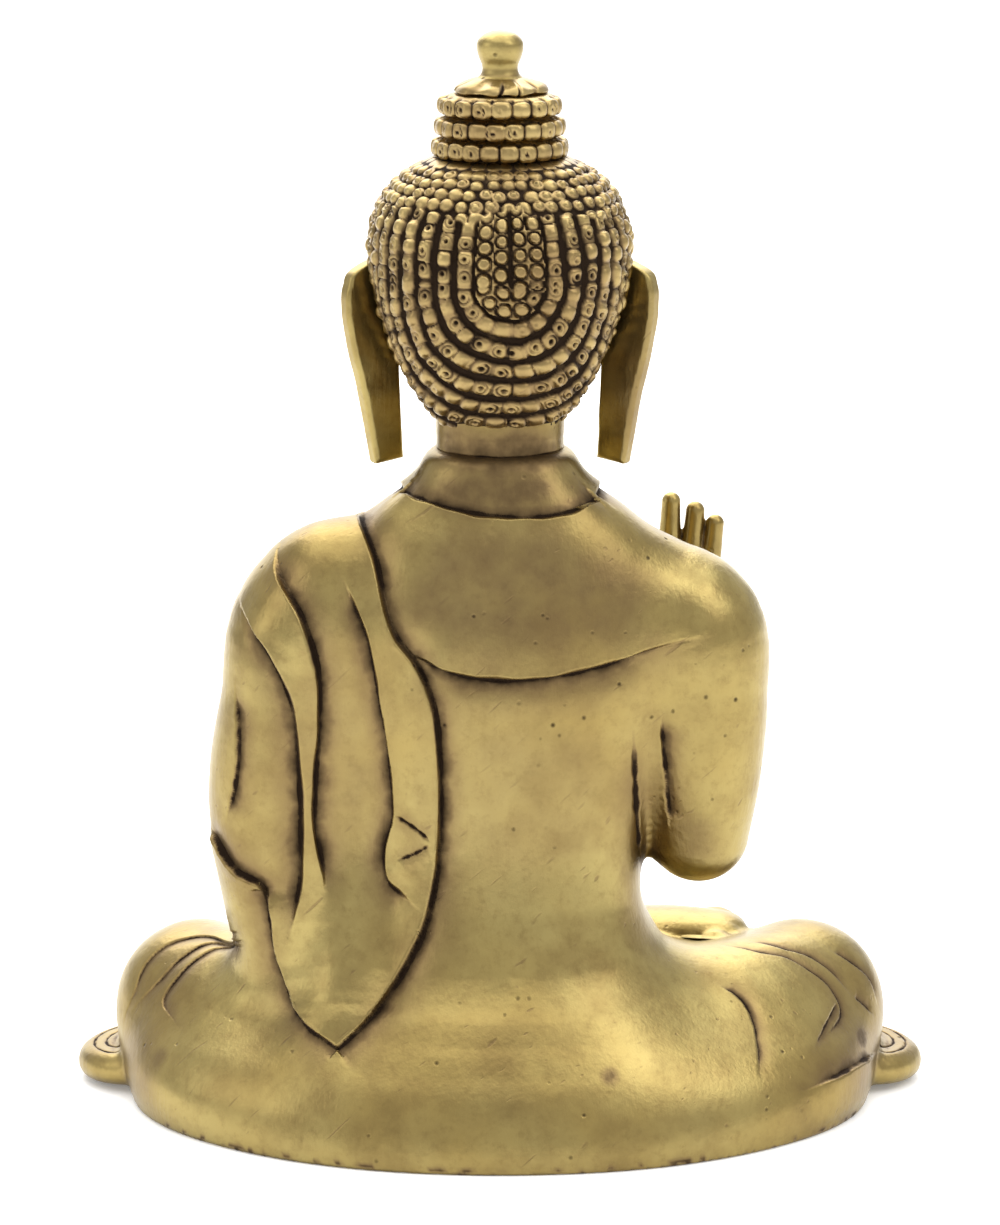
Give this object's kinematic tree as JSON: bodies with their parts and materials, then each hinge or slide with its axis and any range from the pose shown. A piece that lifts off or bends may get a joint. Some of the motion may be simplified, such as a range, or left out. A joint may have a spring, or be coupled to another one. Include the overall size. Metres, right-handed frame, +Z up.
{
  "type": "buddha statue",
  "caption": "Seated robed figure in cast brass, legs crossed and one hand raised in teaching, with a tiered topknot, on a closed flat base.",
  "frame": {"origin": "on the resting plane, at the middle of the footprint's bounding box", "axes": "+Z up from the base to the topknot, -Y the way the figure faces, +X to the figure's own left"},
  "size_m": [0.161, 0.102, 0.2],
  "materials": {
    "satin_brass": "satin cast brass, hand finished, dark patina in the cuts",
    "aged_brass": "cast brass with brown patina in the recesses",
    "plate_brass": "dull sheet brass"
  },
  "bodies": {
    "root": {"seat_casting": "satin_brass", "torso_casting": "satin_brass", "shoulder_drape": "satin_brass", "collar_ring": "satin_brass", "head_casting": "satin_brass", "left_ear": "satin_brass", "right_ear": "satin_brass", "finial": "satin_brass", "right_forearm": "satin_brass", "right_hand": "satin_brass", "left_forearm": "satin_brass", "left_hand": "satin_brass", "left_foot": "satin_brass", "right_foot": "satin_brass", "front_hem_fan": "satin_brass", "left_hem_lobe": "satin_brass", "right_hem_lobe": "satin_brass", "hair_cap": "aged_brass", "ushnisha_lower_tier": "aged_brass", "ushnisha_middle_tier": "aged_brass", "ushnisha_upper_tier": "aged_brass", "ushnisha_cap": "aged_brass", "base_plate": "plate_brass"}
  },
  "joints": []
}
